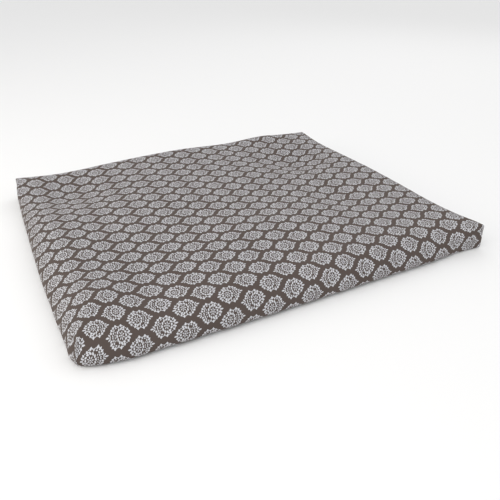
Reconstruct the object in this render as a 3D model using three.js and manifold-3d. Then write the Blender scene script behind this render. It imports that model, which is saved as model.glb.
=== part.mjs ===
// A rectangular pet cushion bed: a flat pad of foam and wadding sewn into a liner, inside a removable
// printed cover that closes with a coil zip along the lower edge of the rear side.
//
// Millimetres, +Z up. The origin is on the floor under the middle of the bed. X runs along the long side,
// the front is -Y and the zip is on the rear, +Y.
import * as THREE from "three";
import { mergeVertices } from "three/addons/utils/BufferGeometryUtils.js";
import Module from "manifold-3d";

// Overall size, over the fullest part of the sides.
const LENGTH = 910;
const WIDTH = 770;
const CORNER_HEIGHT = 58; // where the sewn corner seams end
const CROWN = 5; // how much higher the middle of the top is than its corners

// Profile of the sides, from the floor up.
const TUCK = 10; // how far the sides turn in under the bed
const TUCK_HEIGHT = 7; // height over which they do
const OVERHANG = 6; // how far the fullest part stands out past the upright band below it
const BELLY_HEIGHT = CORNER_HEIGHT - 18; // height of the fullest part
const BAND_TOP = BELLY_HEIGHT - 7; // top of the upright band, which carries the zip at the rear
const RIM_RISE = 2; // the side stays upright this far above its fullest part
const RIM_REACH = 52; // how far in the top rolls over at the middle of a side
const CORNER_REACH = 6; // and how far in at a corner, where the seam holds it crisp
const CORNER_FALL = 2; // how far it falls in doing so
const CORNER_BLEND = 120; // distance from a corner over which one becomes the other
const CORNER_OVERHANG = 1.5; // what is left of the overhang at the corner seams

// Materials' thicknesses.
const CLOTH = 1.2; // printed cover and its base cloth
const LINER = 0.8;
const WADDING = 6; // under the foam
const FOAM_DEPTH = 11; // from the corners' height down to the foam
const GAP = 0.3; // between pieces that touch
const FLANGE = 8; // width of the printed cloth under the bed, around the base panel
const FOAM_MARGIN = OVERHANG + TUCK + 8; // from the foam's edge to the fullest part of the sides
const FOAM_RADIUS = 25; // the foam's cut corners

// Coil zip in the rear side, along the middle of its upright band.
const ZIP_SETBACK = 15; // from the ends of the coils to where the sides begin to stiffen at the corners
const ZIP_LENGTH = LENGTH - 2 * (CORNER_BLEND + ZIP_SETBACK); // coils, end to end
const ZIP_HEIGHT = (CLOTH + TUCK_HEIGHT + BAND_TOP) / 2; // of its centre line
const COIL_WIDTH = 2.1;
const COIL_THICKNESS = 2.2;
const CHAIN_GAP = 1.8; // between the two coils, where the slider's post runs
const TAPE_MARGIN = 0.5; // from a tape's outer edge to where the band begins to curve
const TAPE_WIDTH = BAND_TOP - ZIP_HEIGHT - CHAIN_GAP / 2 - TAPE_MARGIN;
const TAPE_THICKNESS = 0.8;
const TAPE_TAIL = ZIP_SETBACK - 3; // tape past the ends of the coils
const STOP_LENGTH = 3;
const STOP_WIDTH = 3;
const STOP_THICKNESS = 2.8;

// Slider and its pull tab.
const SLIDER_LENGTH = 11;
const SLIDER_CLEAR = 0.5; // from the slider's rear plate to the liner behind it
const PLATE = 1; // thickness of the slider's two plates
const FLANGE_WALL = 1; // lips of the front plate, which guide the coils
const POST_WIDTH = CHAIN_GAP - 2 * GAP;
const POST_LENGTH = 2.4;
const BRIDGE_LENGTH = 6.4;
const BRIDGE_WIDTH = 1.8;
const BRIDGE_BAR = 0.9;
const BRIDGE_POST = 1.2;
const PIVOT_CLEAR = 1.15; // from the pull's axis to the plate and to the bridge
const PULL_THICKNESS = 1.1;
const PULL_LENGTH = 24;
const PULL_WIDTH = 7;
const PULL_EYE = 4.2; // from the pull's axis to the far end of its eye
const PULL_ARM = 1.2;
const PULL_HOLE = 2.2; // radius of the finger end's hole

const wasm = await Module();
wasm.setup();

// ---------------------------------------------------------------- helpers

// A closed three.js geometry as a manifold solid.
function solidOf(geometry) {
  const bare = geometry.clone();
  bare.deleteAttribute("normal");
  bare.deleteAttribute("uv");
  const merged = mergeVertices(bare, 1e-4);
  return new wasm.Manifold(
    new wasm.Mesh({
      numProp: 3,
      vertProperties: merged.attributes.position.array,
      triVerts: new Uint32Array(merged.index.array),
    }),
  );
}

// A manifold solid as a three.js geometry.
function geometryOf(solid) {
  const found = solid.getMesh();
  return new THREE.BufferGeometry()
    .setAttribute("position", new THREE.BufferAttribute(found.vertProperties, 3))
    .setIndex(new THREE.BufferAttribute(found.triVerts, 1));
}

// A box given by its lowest and highest corners.
function block(low, high) {
  const size = high.map((value, k) => value - low[k]);
  const box = new THREE.BoxGeometry(...size);
  box.translate(...low.map((value, k) => value + size[k] / 2));
  return solidOf(box);
}

// A flat plate of a shape drawn in X and Y, from one height to another.
function plate(shape, bottom, top) {
  const settings = { depth: top - bottom, bevelEnabled: false, curveSegments: 5 };
  const made = new THREE.ExtrudeGeometry(shape, settings);
  made.translate(0, 0, bottom);
  return solidOf(made);
}

// A rectangle about the origin with round corners.
function roundedRectangle(halfX, halfY, radius) {
  const shape = new THREE.Shape();
  shape.moveTo(halfX, halfY - radius);
  shape.absarc(halfX - radius, halfY - radius, radius, 0, Math.PI / 2);
  shape.absarc(-halfX + radius, halfY - radius, radius, Math.PI / 2, Math.PI);
  shape.absarc(-halfX + radius, -halfY + radius, radius, Math.PI, 1.5 * Math.PI);
  shape.absarc(halfX - radius, -halfY + radius, radius, 1.5 * Math.PI, 2 * Math.PI);
  return shape;
}

const mix = (a, b, t) => a + (b - a) * t;
const smooth = (t) => t * t * (3 - 2 * t);

// ---------------------------------------------------------------- the pad's shape

// 1 at a corner seam, falling to 0 at CORNER_BLEND along the side from it.
function cornerness(fromCorner) {
  return 1 - smooth(Math.min(fromCorner / CORNER_BLEND, 1));
}

// Grid stations right across a layer, as shares of its half width from -1 to 1: close together where the
// rim rolls over, then evenly to the middle. All but the outermost are at the same places in every layer,
// so that one layer's facets lie evenly under the next one's.
function shares(full, layer) {
  const rim = [0.18, 0.46, 1].map((share) => share * RIM_REACH);
  const blend = [0.5, 1].map((share) => mix(RIM_REACH, CORNER_BLEND, share));
  const inner = [1, 2, 3].map((k) => mix(CORNER_BLEND, full / 2, k / 3));
  const insets = [layer.side, ...rim, ...blend, ...inner];
  const side = insets.map((inset) => (full / 2 - inset) / (full / 2 - layer.side));
  return [...side.map((share) => -share), ...side.slice(0, -1).reverse()];
}

// How far the top falls below its crown at a distance in from one side: an elliptical roll-over that ends
// upright at the rim.
function rimFall(inset, fromCorner, layer) {
  const corner = cornerness(fromCorner);
  const reach = Math.max(mix(RIM_REACH, CORNER_REACH, corner) - layer.side, 1);
  const depth = mix(CORNER_HEIGHT - layer.top - BELLY_HEIGHT - RIM_RISE, CORNER_FALL, corner);
  const along = Math.min(inset / reach, 1);
  return depth * (1 - Math.sqrt(1 - (1 - along) ** 2));
}

// Height of a layer's top surface over a point of the plan.
function topHeight(x, y, layer) {
  const halfX = LENGTH / 2 - layer.side;
  const halfY = WIDTH / 2 - layer.side;
  const insetX = Math.max(halfX - Math.abs(x), 0);
  const insetY = Math.max(halfY - Math.abs(y), 0);
  const crown = CROWN * (1 - (2 * x / LENGTH) ** 2) * (1 - (2 * y / WIDTH) ** 2);
  const fall = Math.max(rimFall(insetX, insetY, layer), rimFall(insetY, insetX, layer));
  return CORNER_HEIGHT - layer.top + crown - fall;
}

// Rows of a layer's side from the floor up, as heights and as insets from the fullest part.
function sideRows(corner, layer) {
  const overhang = mix(OVERHANG, CORNER_OVERHANG, corner);
  return [
    { height: layer.base, inset: overhang + TUCK },
    { height: layer.base + TUCK_HEIGHT, inset: overhang },
    { height: BAND_TOP, inset: overhang },
    { height: BELLY_HEIGHT, inset: 0 },
  ];
}

// One layer of the pad as a closed solid: a box whose grid of points is moved onto the cushion's surface.
// layer.side, layer.top and layer.base say how far it lies inside the cover's outer surface.
function padSolid(layer) {
  const halfX = LENGTH / 2 - layer.side;
  const halfY = WIDTH / 2 - layer.side;
  const acrossX = shares(LENGTH, layer);
  const acrossY = shares(WIDTH, layer);
  const rows = sideRows(0, layer).length;
  const box = new THREE.BoxGeometry(2, 2, 2, acrossX.length - 1, acrossY.length - 1, rows);
  const points = box.attributes.position;
  const index = (value, count) => Math.round(((value + 1) / 2) * count);
  for (let i = 0; i < points.count; i++) {
    const shareX = acrossX[index(points.getX(i), acrossX.length - 1)];
    const shareY = acrossY[index(points.getY(i), acrossY.length - 1)];
    const row = index(points.getZ(i), rows);
    const fromCorner = Math.max(halfX * (1 - Math.abs(shareX)), halfY * (1 - Math.abs(shareY)));
    const found = row < rows ? sideRows(cornerness(fromCorner), layer)[row] : { inset: 0 };
    const x = shareX * (halfX - found.inset);
    const y = shareY * (halfY - found.inset);
    points.setXYZ(i, x, y, row < rows ? found.height : topHeight(x, y, layer));
  }
  return solidOf(box);
}

// ---------------------------------------------------------------- where the layers lie

const cover = { side: 0, top: 0, base: 0 };
const coverInside = { side: CLOTH, top: CLOTH, base: CLOTH };
// The liner stays clear of the zip's tapes and of the slider's rear plate.
const linerSide = CLOTH + GAP + TAPE_THICKNESS + GAP + PLATE + SLIDER_CLEAR;
const linerBase = CLOTH + GAP;
const padBase = linerBase + LINER + GAP;
const liner = { side: linerSide, top: CLOTH + GAP, base: padBase };
const linerInside = { side: linerSide + LINER, top: liner.top + LINER, base: padBase };
const wadding = { side: linerInside.side + GAP, top: linerInside.top + GAP, base: padBase };

const baseHalfX = LENGTH / 2 - OVERHANG - TUCK - FLANGE;
const baseHalfY = WIDTH / 2 - OVERHANG - TUCK - FLANGE;
const foamHalfX = LENGTH / 2 - FOAM_MARGIN;
const foamHalfY = WIDTH / 2 - FOAM_MARGIN;
const foamBottom = padBase + WADDING + GAP;
const foamTop = CORNER_HEIGHT - FOAM_DEPTH;

// ---------------------------------------------------------------- where the zip lies

const bandFace = WIDTH / 2 - OVERHANG; // outer face of the upright band at the rear
const tapeFace = bandFace - CLOTH - GAP;
const coilBack = tapeFace + GAP;
const coilFace = coilBack + COIL_THICKNESS;
const rearPlateFace = tapeFace - TAPE_THICKNESS - GAP;
const frontPlateBack = coilFace + GAP;
const frontPlateFace = frontPlateBack + PLATE;
const pivotY = frontPlateFace + PIVOT_CLEAR;
const bridgeBack = pivotY + PIVOT_CLEAR;

const chainHalf = CHAIN_GAP / 2 + COIL_WIDTH;
const sliderHalf = chainHalf + GAP + FLANGE_WALL;
const slotHalf = sliderHalf + GAP;
const coilEnd = ZIP_LENGTH / 2;
const slotEnd = coilEnd + STOP_LENGTH + 2 * GAP;
// The slider is shut against the top stops.
const sliderNose = coilEnd - GAP;
const sliderTail = sliderNose - SLIDER_LENGTH;
const sliderMiddle = (sliderNose + sliderTail) / 2;

// ---------------------------------------------------------------- the cover

// Printed panel: the top and its four sides, open underneath and slit for the zip.
function printedCover() {
  const opening = block(
    [-baseHalfX - GAP, -baseHalfY - GAP, -1],
    [baseHalfX + GAP, baseHalfY + GAP, CLOTH + 1],
  );
  const slot = block(
    [-slotEnd, bandFace - CLOTH - 1, ZIP_HEIGHT - slotHalf],
    [slotEnd, WIDTH / 2 + 1, ZIP_HEIGHT + slotHalf],
  );
  return padSolid(cover).subtract(padSolid(coverInside)).subtract(opening).subtract(slot);
}

// Plain cloth under the bed.
function basePanel() {
  return block([-baseHalfX, -baseHalfY, 0], [baseHalfX, baseHalfY, CLOTH]);
}

// ---------------------------------------------------------------- the pad inside

// The liner's upper part, a cup that reaches down to its base sheet.
function linerTop() {
  const below = block([-LENGTH, -WIDTH, -1], [LENGTH, WIDTH, padBase + GAP]);
  return padSolid(liner).subtract(padSolid(linerInside)).subtract(below);
}

function linerBaseSheet() {
  const halfX = LENGTH / 2 - linerSide - OVERHANG - TUCK;
  const halfY = WIDTH / 2 - linerSide - OVERHANG - TUCK;
  return plate(roundedRectangle(halfX, halfY, FOAM_RADIUS), linerBase, linerBase + LINER);
}

// Upper wadding, wrapped over the foam and down its sides.
function waddingWrap() {
  const outline = roundedRectangle(foamHalfX + GAP, foamHalfY + GAP, FOAM_RADIUS);
  const pocket = plate(outline, -1, foamTop + GAP);
  return padSolid(wadding).subtract(pocket);
}

function waddingBase() {
  return plate(roundedRectangle(foamHalfX, foamHalfY, FOAM_RADIUS), padBase, padBase + WADDING);
}

function foamCore() {
  return plate(roundedRectangle(foamHalfX, foamHalfY, FOAM_RADIUS), foamBottom, foamTop);
}

// ---------------------------------------------------------------- the zip

// Upper (side 1) or lower (side -1) box of the zip, between two distances from its centre line.
function zipBox(side, fromX, toX, near, far, backY, faceY) {
  const a = ZIP_HEIGHT + side * near;
  const b = ZIP_HEIGHT + side * far;
  return block([fromX, backY, Math.min(a, b)], [toX, faceY, Math.max(a, b)]);
}

function zipTape(side) {
  const end = coilEnd + TAPE_TAIL;
  const near = CHAIN_GAP / 2;
  return zipBox(side, -end, end, near, near + TAPE_WIDTH, tapeFace - TAPE_THICKNESS, tapeFace);
}

function zipCoil(side) {
  return zipBox(side, -coilEnd, coilEnd, CHAIN_GAP / 2, chainHalf, coilBack, coilFace);
}

function topStop(side) {
  const start = coilEnd + GAP;
  const far = CHAIN_GAP / 2 + STOP_WIDTH;
  return zipBox(side, start, start + STOP_LENGTH, CHAIN_GAP / 2, far, coilBack, coilBack + STOP_THICKNESS);
}

function bottomStop() {
  const start = -coilEnd - GAP;
  const half = CHAIN_GAP / 2 + STOP_WIDTH;
  return block(
    [start - STOP_LENGTH, coilBack, ZIP_HEIGHT - half],
    [start, coilBack + STOP_THICKNESS, ZIP_HEIGHT + half],
  );
}

// ---------------------------------------------------------------- slider and pull

// A plate standing in the zip's plane: a shape drawn along X and up from the centre line, given a
// thickness in Y.
function uprightPlate(shape, backY, faceY) {
  const settings = { depth: faceY - backY, bevelEnabled: false, curveSegments: 8 };
  const made = new THREE.ExtrudeGeometry(shape, settings);
  made.rotateX(Math.PI / 2);
  made.translate(0, faceY, ZIP_HEIGHT);
  return solidOf(made);
}

// Outline of the slider's plates: square at the tail, with its shoulders cut back at the nose.
function sliderOutline(half) {
  const cut = half / 2;
  return new THREE.Shape([
    new THREE.Vector2(sliderTail, -half),
    new THREE.Vector2(sliderNose - cut, -half),
    new THREE.Vector2(sliderNose, -half + cut),
    new THREE.Vector2(sliderNose, half - cut),
    new THREE.Vector2(sliderNose - cut, half),
    new THREE.Vector2(sliderTail, half),
  ]);
}

function sliderBody() {
  const front = uprightPlate(sliderOutline(sliderHalf), frontPlateBack, frontPlateFace);
  const rear = uprightPlate(sliderOutline(chainHalf + GAP), rearPlateFace - PLATE, rearPlateFace);
  const post = block(
    [sliderNose - 1 - POST_LENGTH, rearPlateFace - PLATE / 2, ZIP_HEIGHT - POST_WIDTH / 2],
    [sliderNose - 1, frontPlateBack + PLATE / 2, ZIP_HEIGHT + POST_WIDTH / 2],
  );
  const lipEnd = sliderNose - sliderHalf / 2;
  const lips = [1, -1].map((side) =>
    zipBox(side, sliderTail, lipEnd, chainHalf + GAP, sliderHalf, tapeFace + GAP, frontPlateBack + PLATE / 2),
  );
  const bar = block(
    [sliderMiddle - BRIDGE_LENGTH / 2, bridgeBack, ZIP_HEIGHT - BRIDGE_WIDTH / 2],
    [sliderMiddle + BRIDGE_LENGTH / 2, bridgeBack + BRIDGE_BAR, ZIP_HEIGHT + BRIDGE_WIDTH / 2],
  );
  const legs = [1, -1].map((side) => {
    const outer = sliderMiddle + (side * BRIDGE_LENGTH) / 2;
    const inner = outer - side * BRIDGE_POST;
    return block(
      [Math.min(outer, inner), frontPlateFace - PLATE / 2, ZIP_HEIGHT - BRIDGE_WIDTH / 2],
      [Math.max(outer, inner), bridgeBack + BRIDGE_BAR / 2, ZIP_HEIGHT + BRIDGE_WIDTH / 2],
    );
  });
  return [rear, post, ...lips, bar, ...legs].reduce((whole, piece) => whole.add(piece), front);
}

// The pull lies flat along the shut zip; its crossbar is threaded under the slider's bridge.
function pullTab() {
  const armHalf = BRIDGE_WIDTH / 2 + 2 * GAP + PULL_ARM;
  const half = PULL_WIDTH / 2;
  const bar = PULL_THICKNESS / 2;
  const shape = new THREE.Shape();
  shape.moveTo(sliderMiddle + bar, -armHalf);
  shape.lineTo(sliderMiddle + bar, armHalf);
  shape.lineTo(sliderMiddle - PULL_EYE - PULL_ARM, armHalf);
  shape.lineTo(sliderMiddle - PULL_EYE - PULL_WIDTH / 2, half);
  shape.absarc(sliderMiddle - PULL_LENGTH + half, 0, half, Math.PI / 2, 1.5 * Math.PI);
  shape.lineTo(sliderMiddle - PULL_EYE - PULL_WIDTH / 2, -half);
  shape.lineTo(sliderMiddle - PULL_EYE - PULL_ARM, -armHalf);
  const eye = new THREE.Path();
  eye.moveTo(sliderMiddle - bar, -armHalf + PULL_ARM);
  eye.lineTo(sliderMiddle - PULL_EYE, -armHalf + PULL_ARM);
  eye.lineTo(sliderMiddle - PULL_EYE, armHalf - PULL_ARM);
  eye.lineTo(sliderMiddle - bar, armHalf - PULL_ARM);
  const hole = new THREE.Path();
  hole.absarc(sliderMiddle - PULL_LENGTH + half, 0, PULL_HOLE, 0, 2 * Math.PI);
  shape.holes.push(eye, hole);
  return uprightPlate(shape, pivotY - PULL_THICKNESS / 2, pivotY + PULL_THICKNESS / 2);
}

// ---------------------------------------------------------------- the assembly

function finish(color, roughness, metalness = 0) {
  return new THREE.MeshStandardMaterial({ color, roughness, metalness, flatShading: true });
}

const printedCloth = finish(0x8d8885, 0.85);
const baseCloth = finish(0x4b433f, 0.9);
const linerCloth = finish(0xe4e2dc, 0.9);
const fibre = finish(0xf4f3ef, 1);
const foam = finish(0xe9dfb8, 1);
const zipCloth = finish(0x554b47, 0.9);
const nylon = finish(0x4a413d, 0.45);
const castMetal = finish(0x8b8a88, 0.35, 1);

const bed = new THREE.Group();

function place(name, solid, material) {
  const mesh = new THREE.Mesh(geometryOf(solid), material);
  mesh.name = name;
  bed.add(mesh);
}

place("cover_printed_panel", printedCover(), printedCloth);
place("cover_base_panel", basePanel(), baseCloth);
place("liner_top", linerTop(), linerCloth);
place("liner_base", linerBaseSheet(), linerCloth);
place("wadding_wrap", waddingWrap(), fibre);
place("wadding_base", waddingBase(), fibre);
place("foam_core", foamCore(), foam);
place("zip_tape_upper", zipTape(1), zipCloth);
place("zip_tape_lower", zipTape(-1), zipCloth);
place("zip_coil_upper", zipCoil(1), nylon);
place("zip_coil_lower", zipCoil(-1), nylon);
place("zip_top_stop_upper", topStop(1), castMetal);
place("zip_top_stop_lower", topStop(-1), castMetal);
place("zip_bottom_stop", bottomStop(), castMetal);
place("zip_slider", sliderBody(), castMetal);
place("zip_pull", pullTab(), castMetal);

export default bed;
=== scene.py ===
"""The looks of a pet cushion bed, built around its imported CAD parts: a removable printed cover over a
lined pad of foam and wadding. Metres, +Z up, the front at -Y and the zip at the rear, +Y."""

import math

import bmesh
import bpy
import numpy as np
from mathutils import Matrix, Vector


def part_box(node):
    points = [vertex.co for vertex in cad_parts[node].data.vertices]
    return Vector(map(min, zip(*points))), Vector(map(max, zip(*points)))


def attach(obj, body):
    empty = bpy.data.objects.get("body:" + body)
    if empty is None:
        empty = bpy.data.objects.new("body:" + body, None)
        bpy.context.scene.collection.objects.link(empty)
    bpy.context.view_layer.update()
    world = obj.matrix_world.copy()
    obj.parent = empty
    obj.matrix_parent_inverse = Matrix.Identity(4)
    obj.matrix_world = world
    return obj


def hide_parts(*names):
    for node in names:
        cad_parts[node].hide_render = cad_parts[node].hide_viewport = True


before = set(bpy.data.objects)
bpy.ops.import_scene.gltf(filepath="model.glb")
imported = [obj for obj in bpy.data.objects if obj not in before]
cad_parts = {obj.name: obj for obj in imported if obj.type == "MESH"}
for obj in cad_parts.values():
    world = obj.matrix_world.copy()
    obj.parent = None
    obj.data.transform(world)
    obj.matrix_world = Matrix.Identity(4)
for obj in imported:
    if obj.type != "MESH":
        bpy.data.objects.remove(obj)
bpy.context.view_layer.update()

collection = bpy.context.scene.collection


# ---------------------------------------------------------------- studio
# A plain pale floor, a plain soft sky and three large soft lamps. The camera looks down over the bed's
# near left corner.
def set_inputs(node, values):
    """Sets a node's inputs, given by name."""
    for label, value in values.items():
        node.inputs[label].default_value = value


def new_paint(name, values):
    """A node material with its shader's inputs set: the material, its node tree and its shader."""
    paint = bpy.data.materials.new(name)
    paint.use_nodes = True
    shader = paint.node_tree.nodes["Principled BSDF"]
    set_inputs(shader, values)
    return paint, paint.node_tree, shader


def stage_floor():
    """A flat matt square, far larger than the view, just under the bed."""
    half, drop = 12.0, 0.0005
    mesh = bpy.data.meshes.new("studio_floor")
    corners = [(-half, -half, 0), (half, -half, 0), (half, half, 0), (-half, half, 0)]
    mesh.from_pydata(corners, [], [(0, 1, 2, 3)])
    floor = bpy.data.objects.new("studio_floor", mesh)
    floor.location.z = -drop
    collection.objects.link(floor)
    matt = {"Base Color": (0.9, 0.9, 0.9, 1), "Roughness": 0.9, "Specular IOR Level": 0.1}
    mesh.materials.append(new_paint("studio_floor", matt)[0])


def soft_lamp(name, place, target, size, power, tint=(1.0, 1.0, 1.0)):
    """A square area lamp at a place, turned to face a target."""
    light = bpy.data.lights.new(name, "AREA")
    light.size = size
    light.energy = power
    light.color = tint
    lamp = bpy.data.objects.new(name, light)
    collection.objects.link(lamp)
    lamp.location = place
    lamp.rotation_euler = (lamp.location - Vector(target)).to_track_quat("Z", "Y").to_euler()


stage_floor()
soft_lamp("key_lamp", (-1.6, -1.2, 2.6), (0, 0, 0), 2.2, 26)
soft_lamp("fill_lamp", (2.2, 1.4, 2.4), (0, 0, 0), 2.5, 9)
soft_lamp("side_lamp", (-2.4, 0.1, 0.7), (-0.45, 0, 0), 1.2, 9, (1.0, 0.90, 0.74))

world = bpy.data.worlds.new("soft_sky")
world.use_nodes = True
set_inputs(world.node_tree.nodes["Background"], {"Color": (1.0, 1.0, 1.0, 1), "Strength": 0.86})
bpy.context.scene.world = world
bpy.context.scene.view_settings.view_transform = "Standard"

lens = bpy.data.cameras.new("camera")
lens.sensor_width = 36
lens.lens = 37.9
camera = bpy.data.objects.new("camera", lens)
camera.location = (-0.486, -1.086, 0.600)
camera.rotation_euler = (math.radians(59.99), 0, math.radians(-26.79))
collection.objects.link(camera)
bpy.context.scene.camera = camera


# ---------------------------------------------------------------- printed cover
# The cover's top and four sides are one brushed polyester cloth, darted and seamed up the corners and
# drawn under the bed at its foot. It is cut generously, so it rolls softly over the pad's edges.
HALF_X, HALF_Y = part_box("cover_printed_panel")[1].xy
MARGIN = 0.080       # from the fullest part in to where the top's rim begins
EDGE_HEIGHT = 0.057  # top of the corners
FLANGE = 0.024       # how far under the bed the cloth reaches
CLOTH = 0.0012       # its thickness
REAR_INSET = 0.006   # from the fullest part in to the upright band that holds the zip
SLOT_HALF = 0.3236   # half the length of the opening for the zip
SLOT_LOW, SLOT_HIGH = 0.0160, 0.0252
JOIN = 1e-5          # points nearer to each other than this are one
GRID_STEP = 0.0105   # between the grid's lines, away from the edges
FLOOR_GAP = 0.0002   # what the moving cloth keeps from the floor
SEAM_PULL = 0.0014   # how far a corner seam is drawn in
SEAM_CREASE = 0.8
FRONT_BULGE, LEFT_BULGE = 0.021, 0.010


def smooth(t):
    """An even S from 0 to 1: t squared times three less twice t, with t held between 0 and 1."""
    t = np.clip(t, 0, 1)
    return t * t * (3 - 2 * t)


def hill(x, y, x0, y0, reach_x, reach_y, height):
    """A round hill: height times e to the minus squared distance, measured in reaches."""
    return height * np.exp(-(((x - x0) / reach_x) ** 2) - ((y - y0) / reach_y) ** 2)


def arc(centre, radii, start, end, count=24):
    """Points on an ellipse's arc in (inset, height), from one angle in degrees to another."""
    angle = np.radians(np.linspace(start, end, count))
    return np.stack([centre[0] + radii[0] * np.cos(angle), centre[1] + radii[1] * np.sin(angle)], 1)


def section(reach, belly, overhang, band_top, band_foot, tuck):
    """The cover's section at one side, as (inset, height) from the rim's beginning to the cloth's hem: a
    quarter ellipse, reach wide, over the edge and down to the belly's height, in to an upright band at
    the overhang's inset if band_top is over band_foot, and a quarter ellipse, tuck wide, under it."""
    over = arc((reach, belly), (reach, EDGE_HEIGHT - belly), 90, 180)
    under = arc((overhang + tuck, band_foot), (tuck, band_foot), 180, 270, 12)
    parts = [np.array([(MARGIN, EDGE_HEIGHT)]), over]
    if band_top > band_foot:
        parts.append(np.array([(overhang, band_top)]))
    path = np.concatenate([*parts, under, np.array([(FLANGE, 0.0)])])
    keep = np.append(True, np.linalg.norm(np.diff(path, axis=0), axis=1) > JOIN)
    return path[keep]


def lengths_along(path):
    """Distance from the start of a path to each of its points."""
    return np.append(0, np.cumsum(np.linalg.norm(np.diff(path, axis=0), axis=1)))


# Sections at the middle of each side, at a crisp corner's seam and at the slumped near left corner's:
# reach, belly, overhang, band top, band foot and tuck.
SECTIONS = {
    "front": section(0.060, 0.012, 0.000, 0.0, 0.012, 0.012),
    "left": section(0.060, 0.012, 0.000, 0.0, 0.012, 0.012),
    "right": section(0.018, 0.042, 0.000, 0.0, 0.022, 0.012),
    "rear": section(0.016, 0.047, REAR_INSET, 0.033, 0.007, 0.010),
    "crisp": section(0.005, 0.053, 0.001, 0.048, 0.004, 0.004),
    "slumped": section(0.020, 0.016, 0.000, 0.0, 0.016, 0.010),
}


def along(name, reach):
    """Inset and height of a section where the cloth is a distance from the rim's beginning. Past MARGIN
    the distances are stretched so that every section's hem is at MARGIN plus 1."""
    path = SECTIONS[name]
    length = lengths_along(path)
    total = length[-1]
    distance = np.where(reach <= MARGIN, reach, MARGIN + (reach - MARGIN) * (total - MARGIN))
    return np.interp(distance, length, path[:, 0]), np.interp(distance, length, path[:, 1]), total - MARGIN


# The two corners at a side's ends, in its direction of growing X or Y, and how far each one reaches.
ENDS = {
    "front": (("slumped", 0.13), ("crisp", 0.12)),
    "rear": (("crisp", 0.12), ("crisp", 0.12)),
    "left": (("slumped", 0.13), ("crisp", 0.18)),
    "right": (("crisp", 0.20), ("crisp", 0.14)),
}


def fold(name, reach, from_start, from_end):
    """Inset, height and drop length over a side's edge: its own section, blended to the corners' over
    their reach at its two ends."""
    own = along(name, reach)
    found = list(own)
    for distance, (corner, blend) in zip((from_start, from_end), ENDS[name]):
        share = 1 - smooth(distance / blend)
        found = [a + (b - c) * share for a, b, c in zip(found, along(corner, reach), own)]
    return found


# Where the filling has shifted: each hollow's or hump's centre, reach along X and along Y, and height.
HILLS = [
    (-0.335, 0.240, 0.105, 0.110, -0.022), (0.285, 0.165, 0.090, 0.090, -0.019),
    (0.255, -0.090, 0.060, 0.100, -0.010), (0.120, 0.050, 0.120, 0.080, -0.004),
    (0.450, 0.020, 0.050, 0.230, 0.003), (-0.060, 0.385, 0.300, 0.035, 0.008),
    (-0.265, -0.290, 0.050, 0.100, -0.004), (-0.378, -0.285, 0.045, 0.065, 0.013),
    (-0.375, -0.040, 0.035, 0.110, 0.005), (0.040, -0.190, 0.160, 0.100, 0.010),
    (0.020, 0.360, 0.150, 0.070, 0.006), (0.290, 0.385, 0.100, 0.045, 0.011),
]


def top_shape(x, y):
    """Height of the pad's top over its edges: the sum of its hollows and humps."""
    return sum(hill(x, y, *each) for each in HILLS)


def stations(half, near, step):
    """Distances from one edge to the other: close together near the edges, then evenly about a step apart."""
    rim = np.array(near)
    count = int(round((2 * half - 2 * rim[-1]) / step))
    middle = np.linspace(rim[-1], 2 * half - rim[-1], count + 1)
    return np.concatenate([rim[:-1], middle, 2 * half - rim[-2::-1]])


def slot_stations(found, half):
    """Stations along X, with one moved to each end of the zip's opening."""
    for end in (half - SLOT_HALF, half + SLOT_HALF):
        found[np.argmin(abs(found - end))] = end
    return found


def rim_place(distance, half, names, from_start, from_end):
    """Place along one axis, and height lost, for cloth at a distance from the low edge of the top."""
    low_reach = MARGIN - distance
    high_reach = MARGIN - (2 * half - distance)
    low_inset, low_z, _ = fold(names[0], np.clip(low_reach, 0, None), from_start, from_end)
    high_inset, high_z, _ = fold(names[1], np.clip(high_reach, 0, None), from_start, from_end)
    place = distance - half
    place = np.where(low_reach > 0, low_inset - half, place)
    place = np.where(high_reach > 0, half - high_inset, place)
    lost = np.where(low_reach > 0, EDGE_HEIGHT - low_z, 0) + np.where(high_reach > 0, EDGE_HEIGHT - high_z, 0)
    return place, lost


def top_panel(across, deep):
    """The top as a grid of the cloth's own two directions: each side's section is followed outwards over
    the edge, and the heights lost over two sides near a corner are not added but the larger is taken."""
    a, b = np.meshgrid(across, deep, indexing="ij")
    x, lost_x = rim_place(a, HALF_X, ("left", "right"), b, 2 * HALF_Y - b)
    y, lost_y = rim_place(b, HALF_Y, ("front", "rear"), a, 2 * HALF_X - a)
    z = EDGE_HEIGHT - np.maximum(lost_x, lost_y)
    return np.stack([x, y, z], -1), np.stack([a - HALF_X, b - HALF_Y], -1)


def side_panel(name, edge, station, rows):
    """One side from the top panel's edge down to the hem, as a grid of places along it by rows down it."""
    along_x = name in ("front", "rear")
    sign = -1 if name in ("front", "left") else 1
    half_along, half_out = (HALF_X, HALF_Y) if along_x else (HALF_Y, HALF_X)
    s, w = np.meshgrid(station, rows, indexing="ij")
    inset, height, drop = fold(name, MARGIN + w, s, 2 * half_along - s)
    ends = [along(corner, MARGIN + w)[0] for corner, _ in ENDS[name]]
    first, last = ends[0] - half_along, half_along - ends[1]
    edge = edge[:, None, 0 if along_x else 1]
    place = first + (edge - edge[0]) / (edge[-1] - edge[0]) * (last - first)
    out = sign * (half_out - inset)
    fabric_out = sign * (half_out + w * drop)
    if along_x:
        return np.stack([place, out, height], -1), np.stack([s - half_along, fabric_out], -1)
    return np.stack([out, place, height], -1), np.stack([fabric_out, s - half_along], -1)


def slot_rows(rows):
    """Rows down the rear side, with one moved to each long edge of the zip's opening."""
    path = SECTIONS["rear"]
    length = lengths_along(path)
    for distance in np.interp([SLOT_HIGH, SLOT_LOW], path[::-1, 1], length[::-1]):
        share = (distance - MARGIN) / (length[-1] - MARGIN)
        rows[np.argmin(abs(rows - share))] = share
    return rows


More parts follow.
